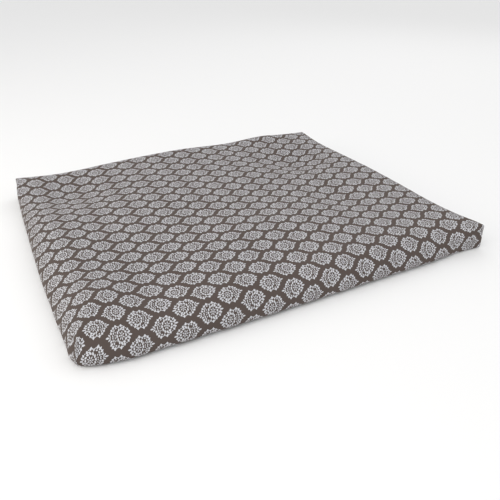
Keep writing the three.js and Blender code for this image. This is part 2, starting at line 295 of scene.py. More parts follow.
def grid_faces(shape, offset, flip):
    """Four-sided faces of a grid of points numbered from offset, turned over if flip is set."""
    index = offset + np.arange(shape[0] * shape[1]).reshape(shape)
    faces = np.stack([index[:-1, :-1], index[1:, :-1], index[1:, 1:], index[:-1, 1:]], -1).reshape(-1, 4)
    return faces[:, ::-1] if flip else faces


def weld(points, faces):
    """Joins points that are nearer than JOIN: the points kept, the faces over them, and for each old
    point the number of the one that it became."""
    key = np.round(points / JOIN).astype(np.int64)
    _, first, number = np.unique(key, axis=0, return_index=True, return_inverse=True)
    number = number.ravel()
    return points[first], number[faces], number


def sewn_panels(across, deep, rows, rear_rows):
    """The top and its four sides, each as (places, cloth coordinates, whether its faces are turned over)."""
    top, print_at = top_panel(across, deep)
    panels = [(top, print_at, False)]
    for name, edge in {"front": top[:, 0], "rear": top[:, -1], "left": top[0], "right": top[-1]}.items():
        station = across if name in ("front", "rear") else deep
        found = side_panel(name, edge, station, rear_rows if name == "rear" else rows)
        panels.append((*found, name in ("front", "right")))
    return panels


def joined(panels):
    """All panels as one list of points, one of faces and one of the cloth coordinates at each point."""
    faces, offset = [], 0
    for place, _, flip in panels:
        faces.append(grid_faces(place.shape[:2], offset, flip))
        offset += place.shape[0] * place.shape[1]
    points = np.concatenate([place.reshape(-1, 3) for place, _, _ in panels])
    cloth = np.concatenate([fabric.reshape(-1, 2) for _, fabric, _ in panels])
    return points, np.concatenate(faces), cloth


def seam_marks(panels):
    """Whether each point of the joined panels lies on a corner seam, where two sides are sewn together."""
    marks = [np.zeros(panels[0][0].shape[:2], bool)]
    for place, _, _ in panels[1:]:
        mark = np.zeros(place.shape[:2], bool)
        mark[[0, -1]] = True
        marks.append(mark)
    return np.concatenate([mark.ravel() for mark in marks])


def build_cover():
    """The cover's cloth as one welded mesh, open for the zip, with flat coordinates at each face corner
    and the points that are on the corner seams, on the hem and beside the zip."""
    near = (0, 0.003, 0.008, 0.015, 0.023, 0.032, 0.041, 0.050, 0.060, 0.070, MARGIN)
    across = slot_stations(stations(HALF_X, near, GRID_STEP), HALF_X)
    deep = stations(HALF_Y, near, GRID_STEP)
    rows = np.array([0, 0.10, 0.20, 0.30, 0.40, 0.47, 0.53, 0.59, 0.65, 0.71, 0.77, 0.84, 0.92, 1])
    panels = sewn_panels(across, deep, rows, slot_rows(rows.copy()))
    points, faces, cloth = joined(panels)
    middle = points[faces].mean(1)
    opening = (abs(middle[:, 0]) < SLOT_HALF) & (middle[:, 1] > HALF_Y - 1.5 * REAR_INSET)
    opening &= (middle[:, 2] > SLOT_LOW) & (middle[:, 2] < SLOT_HIGH)
    faces = faces[~opening]
    corner_cloth = drawn_cloth(points, cloth)[faces]
    points, faces, number = weld(points, faces)
    seam = np.zeros(len(points), bool)
    seam[number[seam_marks(panels)]] = True
    edges, uses = np.unique(np.sort(edges_of(faces), axis=1), axis=0, return_counts=True)
    rim = np.zeros(len(points), bool)
    rim[edges[uses == 1]] = True
    return points, faces, corner_cloth, seam, rim


def edges_of(faces):
    """The edges of four-sided faces as pairs of points, each shared edge twice."""
    return np.stack([faces, np.roll(faces, -1, axis=1)], -1).reshape(-1, 2)


def mesh_object(name, points, faces, caps=()):
    """A mesh object at the origin from arrays of points and of faces with equally many corners, and from
    a list of any other faces."""
    mesh = bpy.data.meshes.new(name)
    mesh.from_pydata(points.tolist(), [], faces.tolist() + list(caps))
    mesh.shade_smooth()
    made = bpy.data.objects.new(name, mesh)
    collection.objects.link(made)
    return made


def bulge(x, y):
    """How far the pad pushes its sides outwards: most near the left of the front, a little at the left."""
    front = smooth((x + HALF_X + 0.02) / 0.12) * smooth((HALF_X - x) / 0.16)
    front *= 1 - 0.5 * smooth((x + 0.2) / 0.65)
    left = smooth((y + 0.42) / 0.40) * smooth((HALF_Y - y) / 0.08)
    near_left, near_front = smooth((-x - 0.36) / 0.08), smooth((-y - 0.22) / 0.15)
    return -LEFT_BULGE * left * near_left, -FRONT_BULGE * front * near_front


def rounded(x, y, corner_x, corner_y, radius, amount):
    """Rounds one corner in plan: squares about the corner's centre are drawn in towards circles."""
    a = (x - corner_x) * -np.sign(corner_x) - radius
    b = (y - corner_y) * -np.sign(corner_y) - radius
    size = np.hypot(a, b)
    inside = (a < 0) & (b < 0)
    pull = np.where(inside, amount * (np.maximum(abs(a), abs(b)) / np.maximum(size, 1e-9) - 1), 0)
    return x + a * pull * -np.sign(corner_x), y + b * pull * -np.sign(corner_y)


def near_corner(x, y, corner_x, corner_y, reach):
    """1 at a corner, and e to the minus squared distance from it, measured in reaches."""
    return np.exp(-((x - corner_x) ** 2 + (y - corner_y) ** 2) / reach ** 2)


def settle(points):
    """Moves the points as the bed lies: the filling's hollows and humps, sides that bulge, a slumped near
    left corner and a near right one that stays crisp. Beside the zip, which stiffens it, the rear side
    keeps its height."""
    x, y, z = points.T.copy()
    fade, rear_face, stiff_height = 0.012, 0.370, 0.036
    beside_zip = smooth((SLOT_HALF + fade - abs(x)) / fade) * smooth((y - rear_face) / 0.004)
    lift = smooth(z / EDGE_HEIGHT) * (1 - beside_zip * smooth((stiff_height - z) / 0.008))
    z = z + top_shape(x, y) * lift ** 2
    slump = near_corner(x, y, -HALF_X, -HALF_Y, 0.075) * lift ** 2
    x = x + 0.012 * slump
    y = y + 0.026 * slump
    z = z - 0.006 * slump
    crisp = near_corner(x, y, HALF_X, -HALF_Y, 0.06)
    x = x + 0.0045 * crisp * (1 - 0.65 * lift)
    y = y - 0.004 * crisp
    z = z + 0.003 * crisp * lift ** 2
    x, y = rounded(x, y, -HALF_X, -HALF_Y, 0.040, 0.8)
    out_x, out_y = bulge(x, y)
    return np.stack([x + out_x, y + out_y, z], 1)


def drawn_cloth(points, cloth):
    """Cloth coordinates with the extra cloth that lies in fine gathers along the front and the left, and
    with what the bulging sides take."""
    u, v = cloth.T
    out_x, out_y = bulge(*points.T[:2])
    u = u + out_x - 0.010 * smooth((-u - 0.31) / 0.11) + 0.008 * smooth((-v - 0.34) / 0.06)
    rear = 0.013 * smooth((v - 0.10) / 0.15) * smooth((u - 0.02) / 0.15)
    v = v + out_y - 0.017 * smooth((-v - 0.12) / 0.17) + rear
    return np.stack([u, v], 1)


def places_of(piece):
    """The places of the piece's points as an array."""
    places = np.zeros(len(piece.data.vertices) * 3, np.float32)
    piece.data.vertices.foreach_get("co", places)
    return places.reshape(-1, 3)


def normals_of(piece):
    """The piece's point normals as an array."""
    normal = np.zeros(len(piece.data.vertices) * 3, np.float32)
    piece.data.vertex_normals.foreach_get("vector", normal)
    return normal.reshape(-1, 3)


def move_points(piece, places):
    """Gives the piece's mesh new places for its points."""
    piece.data.vertices.foreach_set("co", places.astype(np.float32).reshape(-1))
    piece.data.update()


def thick_cloth(piece):
    """Gives a piece's mesh the cloth's thickness on its inner side, and rounds it once."""
    thicken = piece.modifiers.new("cloth", "SOLIDIFY")
    thicken.thickness = CLOTH
    thicken.offset = -1
    rounder = piece.modifiers.new("round", "SUBSURF")
    rounder.levels = rounder.render_levels = 1


def filled_out(piece, held, limit):
    """Lets the cloth of a piece take its own shape over the filling: a short cloth simulation under a
    little pressure, on cloth cut one part in a hundred too large, held where it is sewn. No point moves
    further than the limit: a step is cut to its size times the limit over the sum of the two."""
    frames = 20
    start = places_of(piece)
    trial = bpy.data.objects.new("trial_cloth", piece.data.copy())
    collection.objects.link(trial)
    pinned = trial.vertex_groups.new(name="held")
    pinned.add(np.flatnonzero(held).tolist(), 1.0, "REPLACE")
    cloth_maker = trial.modifiers.new("cloth", "CLOTH")
    rules = cloth_maker.settings
    rules.quality = 6
    rules.mass = 0.2
    rules.tension_stiffness = rules.compression_stiffness = 20
    rules.shear_stiffness = 8
    rules.bending_stiffness = 0.4
    rules.vertex_group_mass = "held"
    rules.shrink_min = -0.010
    rules.use_pressure = True
    rules.uniform_pressure_force = 1.5
    rules.effector_weights.gravity = 0
    cloth_maker.point_cache.frame_end = frames
    for frame_number in range(1, frames + 1):
        bpy.context.scene.frame_set(frame_number)
    ended = places_of(trial.evaluated_get(bpy.context.evaluated_depsgraph_get()))
    bpy.context.scene.frame_set(1)
    bpy.data.objects.remove(trial)
    step = ended - start
    size = np.linalg.norm(step, axis=1, keepdims=True)
    step *= limit / (limit + size)
    step[:, 2] = np.maximum(step[:, 2], FLOOR_GAP - start[:, 2]) * (start[:, 2] > FLOOR_GAP)
    move_points(piece, start + step)


points, faces, cloth, seam, rim = build_cover()
cover = mesh_object("printed_cover", settle(points), faces)
layer = cover.data.uv_layers.new(name="cloth")
layer.data.foreach_set("uv", cloth.reshape(-1).astype(np.float32))
filled_out(cover, held=rim | seam, limit=0.004)

# The corner seams are pulled in a little, and kept as a crease when the cloth is rounded.
pull = np.where(seam & ~rim, SEAM_PULL, 0)[:, None]
move_points(cover, places_of(cover) - normals_of(cover) * pull)
pairs = np.zeros(len(cover.data.edges) * 2, np.int32)
cover.data.edges.foreach_get("vertices", pairs)
crease = cover.data.attributes.new("crease_edge", "FLOAT", "EDGE")
crease.data.foreach_set("value", seam[pairs.reshape(-1, 2)].all(1).astype(np.float32) * SEAM_CREASE)
thick_cloth(cover)


# The print is leaf medallions in columns, each column half a step from the next and facing the other way.
COLUMN = 84.6    # mm between columns that face the same way
STEP = 48.0      # mm from one medallion to the next in its column
FIRST = (-79.7, 44.0)  # a medallion that faces +X
EDGE_SLOPE = 2.4  # how fast ink gives way to ground at an edge, per mm


class Value:
    """A number that shader nodes work out. Arithmetic on it adds Math nodes to its tree. Its fraction is
    what it has over the whole number below it, and clamped it stays between 0 and 1."""

    def __init__(self, tree, socket):
        self.tree = tree
        self.socket = socket

    def math(self, operation, *others):
        node = self.tree.nodes.new("ShaderNodeMath")
        node.operation = operation
        for k, item in enumerate((self, *others)):
            if isinstance(item, Value):
                self.tree.links.new(item.socket, node.inputs[k])
            else:
                node.inputs[k].default_value = item
        return Value(self.tree, node.outputs[0])

    def __add__(self, other):
        return self.math("ADD", other)

    def __sub__(self, other):
        return self.math("SUBTRACT", other)

    def __mul__(self, other):
        return self.math("MULTIPLY", other)

    def __neg__(self):
        return self.math("MULTIPLY", -1)

    def abs(self):
        return self.math("ABSOLUTE")

    def largest(self, other):
        return self.math("MAXIMUM", other)

    def fraction(self):
        return self - self.math("FLOOR")

    def clamped(self):
        return self.math("MAXIMUM", 0).math("MINIMUM", 1)


def group(name, inputs, outputs):
    """An empty shader node group with number sockets, its input values and its output node."""
    tree = bpy.data.node_groups.new(name, "ShaderNodeTree")
    for label, default in inputs.items():
        made = tree.interface.new_socket(label, in_out="INPUT", socket_type="NodeSocketFloat")
        made.default_value = default
    for label in outputs:
        tree.interface.new_socket(label, in_out="OUTPUT", socket_type="NodeSocketFloat")
    given = tree.nodes.new("NodeGroupInput")
    result = tree.nodes.new("NodeGroupOutput")
    return tree, {label: Value(tree, given.outputs[label]) for label in inputs}, result


def leaf(x, y, place, degrees, half_length, half_width):
    """Positive inside a pointed leaf: its half width, falling as the square of the distance along it from
    its middle, less the distance from its mid line. Its direction is in degrees."""
    c, s = math.cos(math.radians(degrees)), math.sin(math.radians(degrees))
    px, py = x - place[0], y - place[1]
    p = px * c + py * s
    q = py * c - px * s
    return (p * p) * (-half_width / half_length ** 2) + half_width - q.abs()


def spokes(angle, radius, count):
    """Places in a wheel folded onto one of its spokes: distance along it and distance from it."""
    share = angle * (count / (2 * math.pi)) + 0.5
    folded = (share.fraction() - 0.5) * (2 * math.pi / count)
    return radius * folded.math("COSINE"), radius * folded.math("SINE")


def medallion_group():
    """One medallion about the origin, crown towards +X, in millimetres, the same above and below its
    axis: a rope ring round a small rosette, a palm behind it, a wreath of short leaves round its sides
    and before it, and a spearhead crown."""
    tree, given, result = group("leaf_medallion", {"X": 0.0, "Y": 0.0}, ["Print"])
    x = given["X"]
    y = given["Y"].abs()
    ring_x, ring_y = x + 4.4, y * 0.8  # the ring is a tall oval, a little behind the origin
    radius = (ring_x * ring_x + ring_y * ring_y).math("SQRT")
    angle = ring_y.math("ARCTAN2", ring_x)
    shapes = [-radius + 1.1]  # the rosette's eye, then its petals and the ring's slanting leaves
    shapes.append(leaf(*spokes(angle, radius, 7), (3.9, 0), 0, 2.2, 0.8))
    shapes.append(leaf(*spokes(angle, radius, 12), (8.6, 0), 56, 2.6, 1.35))
    # The palm behind the ring: place, direction, half length and half width of each leaf.
    palm = [
        ((-21.3, 0.0), 0, 3.4, 1.5), ((-18.8, 4.6), 150, 2.8, 1.5), ((-16.3, 9.0), 128, 2.8, 1.5),
        ((-15.6, 3.4), 100, 1.9, 0.9), ((-18.0, 1.7), 70, 1.4, 0.7), ((-18.4, 7.2), 60, 1.4, 0.7),
        ((-13.6, 11.4), 35, 1.5, 0.75),
    ]
    # Short leaves round the sides, joined by smaller ones.
    sides = [
        ((-10.3, 13.2), 122, 2.7, 1.6), ((-5.2, 17.0), 94, 2.8, 1.8), ((0.3, 14.5), 90, 2.2, 1.2),
        ((5.6, 17.0), 86, 2.8, 1.8), ((10.3, 13.9), 55, 2.7, 1.6), ((-6.9, 13.0), 20, 1.9, 0.9),
        ((5.0, 12.9), 160, 1.9, 0.95), ((-8.0, 15.9), 35, 1.5, 0.8), ((8.3, 15.8), 145, 1.5, 0.8),
        ((-2.2, 16.3), 140, 1.5, 0.75), ((2.7, 16.3), 40, 1.5, 0.75),
    ]
    # The leaves before the ring, and the crown.
    crown = [
        ((13.8, 9.9), 38, 2.7, 1.55), ((15.4, 5.4), 15, 2.5, 1.35), ((9.4, 9.4), 125, 2.1, 1.0),
        ((11.0, 5.3), 95, 2.2, 1.05), ((7.3, 6.2), 55, 1.8, 0.75), ((12.6, 1.4), 70, 1.8, 0.95),
        ((8.2, 1.9), 100, 1.6, 0.75), ((19.3, 3.3), 42, 2.3, 1.0), ((17.4, 0.0), 0, 1.8, 0.85),
        ((22.4, 0.0), 0, 3.4, 1.45), ((12.5, 12.0), 125, 1.4, 0.7), ((15.6, 7.7), 100, 1.4, 0.7),
        ((17.4, 2.7), 75, 1.3, 0.65),
    ]
    for place, degrees, half_length, half_width in palm + sides + crown:
        shapes.append(leaf(x, y, place, degrees, half_length, half_width))
    whole = shapes[0]
    for shape in shapes[1:]:
        whole = whole.largest(shape)
    inked = (whole * EDGE_SLOPE + 0.5).clamped()
    tree.links.new(inked.socket, result.inputs["Print"])
    return tree


def repeated(value, step, start):
    """A coordinate counted from the middle of its own repeat."""
    share = (value - (start - step / 2)) * (1 / step)
    return (share.fraction() - 0.5) * step


def damask_group():
    """The whole print over flat cloth in metres: medallions that face +X, and between their columns,
    half a step along, medallions that face -X."""
    medallion = medallion_group()
    tree, given, result = group("damask_print", {"U": 0.0, "V": 0.0}, ["Print"])
    prints = []
    for facing, shift_x, shift_y in ((1, 0, 0), (-1, COLUMN / 2, STEP / 2)):
        u = repeated(given["U"] * 1000, COLUMN, FIRST[0] + shift_x)
        v = repeated(given["V"] * 1000, STEP, FIRST[1] + shift_y)
        node = tree.nodes.new("ShaderNodeGroup")
        node.node_tree = medallion
        tree.links.new((u * facing).socket, node.inputs["X"])
        tree.links.new(v.socket, node.inputs["Y"])
        prints.append(Value(tree, node.outputs["Print"]))
    tree.links.new(prints[0].largest(prints[1]).socket, result.inputs["Print"])
    return tree


def weave_group():
    """Plain weave over flat cloth in metres: each thread's height is a rounded wave, and warp and weft
    take turns on top. Its second output is that height again, as painted shade between the threads."""
    tree, given, result = group("plain_weave", {"U": 0.0, "V": 0.0, "Pitch": 0.0005}, ["Height", "PaintedShade"])
    u = given["U"].math("DIVIDE", given["Pitch"])
    v = given["V"].math("DIVIDE", given["Pitch"])
    warp = (u * math.pi).math("SINE").abs()
    weft = (v * math.pi).math("SINE").abs()
    turn = (u.math("FLOOR") + v.math("FLOOR")) * 0.5
    over = turn.fraction() * 2
    height = warp * over + weft * (-over + 1)
    tree.links.new(height.socket, result.inputs["Height"])
    # Painted shade: the height again, so that a colour can be darkened in the hollows between the threads.
    tree.links.new((height * 0.5 + 0.5).socket, result.inputs["PaintedShade"])
    return tree


weave = weave_group()
damask = damask_group()


def cloth_coordinates(tree):
    """The piece's flat cloth coordinates as two numbers."""
    source = tree.nodes.new("ShaderNodeUVMap")
    source.uv_map = "cloth"
    split = tree.nodes.new("ShaderNodeSeparateXYZ")
    tree.links.new(source.outputs["UV"], split.inputs[0])
    return Value(tree, split.outputs["X"]), Value(tree, split.outputs["Y"])


def placed_group(tree, grouped, values):
    """A group node with its inputs linked or set."""
    node = tree.nodes.new("ShaderNodeGroup")
    node.node_tree = grouped
    for label, value in values.items():
        if isinstance(value, Value):
            tree.links.new(value.socket, node.inputs[label])
        else:
            node.inputs[label].default_value = value
    return node


def mixed_colour(tree, share, first, second):
    """A Mix node between two colours or sockets."""
    node = tree.nodes.new("ShaderNodeMix")
    node.data_type = "RGBA"
    tree.links.new(share, node.inputs["Factor"])
    for item, socket in ((first, node.inputs["A"]), (second, node.inputs["B"])):
        if isinstance(item, tuple):
            socket.default_value = item
        else:
            tree.links.new(item, socket)
    return node.outputs["Result"]


def object_texture(tree, kind, values, mapping=None):
    """A texture's value over the piece's own space, which a mapping may first stretch or turn."""
    place = tree.nodes.new("ShaderNodeTexCoord").outputs["Object"]
    if mapping:
        mapper = tree.nodes.new("ShaderNodeMapping")
        set_inputs(mapper, mapping)
        tree.links.new(place, mapper.inputs["Vector"])
        place = mapper.outputs["Vector"]
    texture = tree.nodes.new(kind)
    set_inputs(texture, values)
    tree.links.new(place, texture.inputs["Vector"])
    return texture.outputs["Fac"]


def add_bump(tree, shader, height, distance, strength=1.0):
    """Bumps the shader's surface by a height from 0 to 1."""
    bump = tree.nodes.new("ShaderNodeBump")
    set_inputs(bump, {"Distance": distance, "Strength": strength})
    tree.links.new(height, bump.inputs["Height"])
    tree.links.new(bump.outputs["Normal"], shader.inputs["Normal"])


def printed_cloth():
    """Taupe brushed cloth with a pale print that lies slightly on its threads."""
    paint, tree, shader = new_paint("printed_cloth", {
        "Roughness": 0.9, "Specular IOR Level": 0.1,
        "Sheen Weight": 0.08, "Sheen Roughness": 0.45, "Sheen Tint": (0.9, 0.8, 0.7, 1),
    })
    u, v = cloth_coordinates(tree)
    pattern = placed_group(tree, damask, {"U": u, "V": v})
    threads = placed_group(tree, weave, {"U": u, "V": v, "Pitch": 0.0006})
    patches = object_texture(tree, "ShaderNodeTexNoise", {"Scale": 9, "Detail": 3})
    ground = mixed_colour(tree, patches, (0.086, 0.067, 0.060, 1), (0.103, 0.082, 0.074, 1))
    ink = mixed_colour(tree, patches, (0.57, 0.58, 0.61, 1), (0.64, 0.65, 0.68, 1))
    colour = mixed_colour(tree, pattern.outputs["Print"], ground, ink)
    tree.links.new(colour, shader.inputs["Base Color"])
    add_bump(tree, shader, threads.outputs["Height"], distance=0.0002, strength=0.25)
    return paint


cover.data.materials.append(printed_cloth())
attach(cover, "cushion")
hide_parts("cover_printed_panel")


# ---------------------------------------------------------------- liner
# A thin bag that keeps the filling together when the cover is off for washing. It is two sheets of
# spunbonded polypropylene, glued shut round their edges.
def base_grid(panels):
    """The underside as a grid that meets the four sides' hems: opposite hems are blended across, and
    their corners taken off once."""
    front, rear, left, right = [place[:, -1] for place, _, _ in panels[1:]]
    u = np.linspace(0, 1, len(front))[:, None, None]
    v = np.linspace(0, 1, len(left))[None, :, None]
    ruled = (1 - v) * front[:, None] + v * rear[:, None] + (1 - u) * left[None] + u * right[None]
    corners = (1 - u) * ((1 - v) * front[0] + v * rear[0]) + u * ((1 - v) * front[-1] + v * rear[-1])
    return ruled - corners


def closed_pad(name, side, top):
    """A closed pad that follows the cover from inside: every point is moved in along its normal, by one
    distance at the sides and another above and below."""
    near = (0, 0.016, 0.032, 0.048, 0.064, MARGIN)
    rows = np.linspace(0, 1, 8)
    step = 0.02
    across, deep = stations(HALF_X, near, step), stations(HALF_Y, near, step)
    panels = sewn_panels(across, deep, rows, rows)
    base = base_grid(panels)
    panels.append((base, base[..., :2], True))
    points, faces, _ = joined(panels)
    points, faces, _ = weld(points, faces)
    pad = mesh_object(name, settle(points), faces)
    normal = normals_of(pad)
    depth = side * np.linalg.norm(normal[:, :2], axis=1) + top * abs(normal[:, 2])
    move_points(pad, settle(points) - normal * depth[:, None])
    return pad


def plain_paint(name, colour, roughness, noise_scale, contrast, bump_distance):
    """Matt stuff whose tone and surface vary with a noise over the piece."""
    paint, tree, shader = new_paint(name, {"Roughness": roughness})
    grain = object_texture(tree, "ShaderNodeTexNoise", {"Scale": noise_scale, "Detail": 4})
    dark = tuple(c * (1 - contrast) for c in colour) + (1,)
    tree.links.new(mixed_colour(tree, grain, dark, (*colour, 1)), shader.inputs["Base Color"])
    add_bump(tree, shader, grain, bump_distance, strength=0.5)
    return paint


liner = closed_pad("liner", side=0.0043, top=0.0021)
liner.data.materials.append(plain_paint("liner_cloth", (0.72, 0.71, 0.66), 0.85, 900, 0.15, 0.0002))
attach(liner, "cushion")
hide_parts("liner_top", "liner_base")


# ---------------------------------------------------------------- wadding
# Bonded polyester fibre, cut from the roll and laid over and under the foam. Nothing fixes it, so it
# softens the foam's edges and shifts in use.
wadding = closed_pad("wadding", side=0.0060, top=0.0034)
wadding.data.materials.append(plain_paint("wadding", (0.86, 0.86, 0.84), 1.0, 260, 0.12, 0.001))
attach(wadding, "cushion")
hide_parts("wadding_wrap", "wadding_base")


# ---------------------------------------------------------------- foam
# A slab of open-cell polyurethane foam, cut from block with its corners rounded. It lies loose in the
# wadding, and is pressed down where the bed is used.
foam_low, foam_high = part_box("foam_core")


def slab(name, half_x, half_y, radius, bottom, top, thinner):
    """A rounded slab. A square grid is scaled to the rectangle and its corners drawn in to arcs, ring by
    ring. The top lies a set depth below the cover's, where that is lower than the slab, and a little
    deeper near the slab's edge."""
    shape = (61, 53)
    s, t = np.meshgrid(np.linspace(-1, 1, shape[0]), np.linspace(-1, 1, shape[1]), indexing="ij")
    ring = np.maximum(np.maximum(abs(s), abs(t)), 1e-9)
    qx, qy = s / ring * half_x, t / ring * half_y
    cx, cy = np.clip(qx, radius - half_x, half_x - radius), np.clip(qy, radius - half_y, half_y - radius)
    vx, vy = qx - cx, qy - cy
    size = np.hypot(vx, vy)
    pull = np.where(size > radius, radius / np.maximum(size, 1e-9), 1)
    x, y = (cx + vx * pull) * ring, (cy + vy * pull) * ring
    rim_share, rim_drop = 0.16, 0.012
    edge = smooth((1 - ring) / rim_share)
    sunk = EDGE_HEIGHT + top_shape(x, y) - thinner - rim_drop * (1 - edge)
    upper = np.stack([x, y, np.minimum(top, sunk)], -1)
    lower = np.stack([x, y, np.full_like(x, bottom)], -1)
    count = s.size
    numbers = np.arange(count).reshape(shape)
    loop = np.concatenate([numbers[:-1, 0], numbers[-1, :-1], numbers[:0:-1, -1], numbers[0, :0:-1]])
    faces = [grid_faces(shape, 0, False), grid_faces(shape, count, True)]
    after = np.roll(loop, -1)
    faces.append(np.stack([loop, loop + count, after + count, after], -1))
    points = np.concatenate([upper.reshape(-1, 3), lower.reshape(-1, 3)])
    return mesh_object(name, points, np.concatenate(faces))


foam = slab(
    "foam_core_slab", foam_high.x, foam_high.y, radius=0.025, bottom=foam_low.z, top=foam_high.z,
    thinner=0.0075,
)
foam.data.materials.append(plain_paint("foam", (0.80, 0.72, 0.47), 1.0, 700, 0.25, 0.0006))
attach(foam, "cushion")
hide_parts("foam_core")


# ---------------------------------------------------------------- base cloth
# One panel of plain woven polyester, cut flat, closes the underside. It is sewn to the cover's hem all
# round.
def base_panel():
    """The underside's cloth: a flat grid out to a millimetre inside the hem, its own thickness over the
    floor, with low waves where it is slack: the product of two sines, each bent by another."""
    half_x, half_y = HALF_X - FLANGE - 0.001, HALF_Y - FLANGE - 0.001
    a, b = np.meshgrid(np.linspace(-half_x, half_x, 73), np.linspace(-half_y, half_y, 61), indexing="ij")
    slack = (1 - (a / half_x) ** 4) * (1 - (b / half_y) ** 4)
    wave = np.sin(a * 23 + 2.1 * np.sin(b * 9)) * np.sin(b * 17 + 1.3 * np.sin(a * 11))
    flat = np.stack([a, b, np.zeros_like(a)], -1).reshape(-1, 3)
    points = settle(flat)
    points[:, 2] = CLOTH + (0.0006 * slack * (0.5 + 0.5 * wave)).ravel()
    panel = mesh_object("base_cloth", points, grid_faces(a.shape, 0, False))
    layer = panel.data.uv_layers.new(name="cloth")
    corner_index = np.zeros(len(panel.data.loops), np.int32)
    panel.data.loops.foreach_get("vertex_index", corner_index)
    layer.data.foreach_set("uv", flat[corner_index][:, :2].astype(np.float32).reshape(-1))
    return panel


def base_cloth_paint():
    """Dark taupe plain weave with faint slubs along its threads and painted shade between them."""
    paint, tree, shader = new_paint("base_cloth", {
        "Roughness": 0.88, "Specular IOR Level": 0.3, "Sheen Weight": 0.15,
    })
    u, v = cloth_coordinates(tree)
    threads = placed_group(tree, weave, {"U": u, "V": v, "Pitch": 0.0009})
    noise = {"Scale": 1, "Detail": 3}
    slubs = object_texture(tree, "ShaderNodeTexNoise", noise, mapping={"Scale": (40, 900, 1)})
    tone = mixed_colour(tree, slubs, (0.048, 0.039, 0.035, 1), (0.082, 0.068, 0.060, 1))
    # Painted shade: where the weave is low, between its threads, the colour is mixed towards a darker one.
    shade = mixed_colour(tree, threads.outputs["PaintedShade"], (0.030, 0.025, 0.022, 1), tone)
    tree.links.new(shade, shader.inputs["Base Color"])
    add_bump(tree, shader, threads.outputs["Height"], distance=0.0003, strength=0.5)
    return paint


base_cloth = base_panel()
thick_cloth(base_cloth)
base_cloth.data.materials.append(base_cloth_paint())
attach(base_cloth, "cushion")
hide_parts("cover_base_panel")


# ---------------------------------------------------------------- sewing thread
# Spun polyester thread: a lockstitch sunk between the cover's hem and the base, and two rows of
# topstitching that hold the zip's tapes behind the edges of its opening.
def stitches(name, path, length, gap, radius):
    """Stitches along a path of points. Each is a six-sided tube that follows its path for a length, full
    in the middle and nearly pointed at its ends, and a gap parts it from the next."""
    share = np.array([0.0, 0.12, 0.5, 0.88, 1.0])
    size = np.array([0.15, 0.85, 1.0, 0.85, 0.15])
    turn = np.linspace(0, 2 * math.pi, 6, endpoint=False)
    travelled = lengths_along(path)
    count = int(travelled[-1] / (length + gap))
    start = (np.arange(count) + 0.5) * travelled[-1] / count - length / 2
    at = start[:, None] + share * length
    middle = np.stack([np.interp(at, travelled, path[:, k]) for k in range(3)], -1)
    along_it = np.gradient(middle, axis=1)
    along_it /= np.linalg.norm(along_it, axis=-1, keepdims=True)
    side = np.cross(along_it, np.array([0.31, 0.52, 0.80]))  # any direction that no stitch takes
    side /= np.linalg.norm(side, axis=-1, keepdims=True)
    up = np.cross(along_it, side)
    ring = side[:, :, None] * np.cos(turn)[:, None] + up[:, :, None] * np.sin(turn)[:, None]
    points = middle[:, :, None] + ring * (radius * size)[:, None, None]
    index = np.arange(points.size // 3).reshape(points.shape[:3])
    after = np.roll(index, -1, axis=2)
    tube = np.stack([index[:, :-1], index[:, 1:], after[:, 1:], after[:, :-1]], -1).reshape(-1, 4)
    faces = [tube[:, ::-1]]
    for cap in (index[:, 0, ::-1], index[:, -1]):
        faces += [cap[:, [0, 1, 2, 3]], cap[:, [0, 3, 4, 5]]]
    return mesh_object(name, points.reshape(-1, 3), np.concatenate(faces))


def hem_loop(inset):
    """The line of the cover's hem on the floor, moved inwards by an inset, as a closed path."""
    t = np.linspace(-1, 1, 181)
    half_x, half_y = HALF_X - FLANGE - inset, HALF_Y - FLANGE - inset
    ones = np.ones_like(t)
    flat = np.concatenate([
        np.stack([t * half_x, -half_y * ones], 1)[:-1],
        np.stack([half_x * ones, t * half_y], 1)[:-1],
        np.stack([-t * half_x, half_y * ones], 1)[:-1],
        np.stack([-half_x * ones, -t * half_y], 1),
    ])
    return settle(np.column_stack([flat, np.zeros(len(flat))]))


def slot_stitch_path(outside):
    """A closed rectangle round the zip's opening, a distance outside its edges, just on the cloth."""
    t = np.linspace(-1, 1, 161)
    middle, half = (SLOT_LOW + SLOT_HIGH) / 2, (SLOT_HIGH - SLOT_LOW) / 2 + outside
    face = HALF_Y - REAR_INSET + 0.00005
    x, z = SLOT_HALF + outside, np.linspace(-1, 1, 7)
    sides = [
        np.stack([t * x, np.full_like(t, face), np.full_like(t, middle - half)], 1),
        np.stack([np.full_like(z, x), np.full_like(z, face), middle + z * half], 1)[1:-1],
        np.stack([-t * x, np.full_like(t, face), np.full_like(t, middle + half)], 1),
        np.stack([np.full_like(z, -x), np.full_like(z, face), middle - z * half], 1)[1:],
    ]
    return np.concatenate(sides)


def thread_paint(name, colour):
    """Twisted thread: fine slanting bands that are both its bump and painted light and shade in its colour.
    """
    paint, tree, shader = new_paint(name, {"Roughness": 0.6})
    wave = {"Scale": 900, "Distortion": 1.5}
    bands = object_texture(tree, "ShaderNodeTexWave", wave, mapping={"Rotation": (0.6, 0.6, 0.8)})
    # Painted shade: the colour is darker where the bands' bump is low, in the grooves of the twist.
    dark = tuple(c * 0.55 for c in colour) + (1,)
    tree.links.new(mixed_colour(tree, bands, dark, (*colour, 1)), shader.inputs["Base Color"])
    add_bump(tree, shader, bands, distance=0.0001)
    return paint


thread_finish = thread_paint("seam_thread", (0.16, 0.13, 0.115))
hem_path = hem_loop(0.0004)
hem_path[:, 2] = 0.0005  # just over the floor
hem_stitching = stitches("hem_stitching", hem_path, length=0.0028, gap=0.0008, radius=0.00030)
slot_path = slot_stitch_path(0.0022)
zip_topstitching = stitches("zip_topstitching", slot_path, length=0.0026, gap=0.0007, radius=0.00028)
for row in (hem_stitching, zip_topstitching):
    row.data.materials.append(thread_finish)
    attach(row, "cushion")


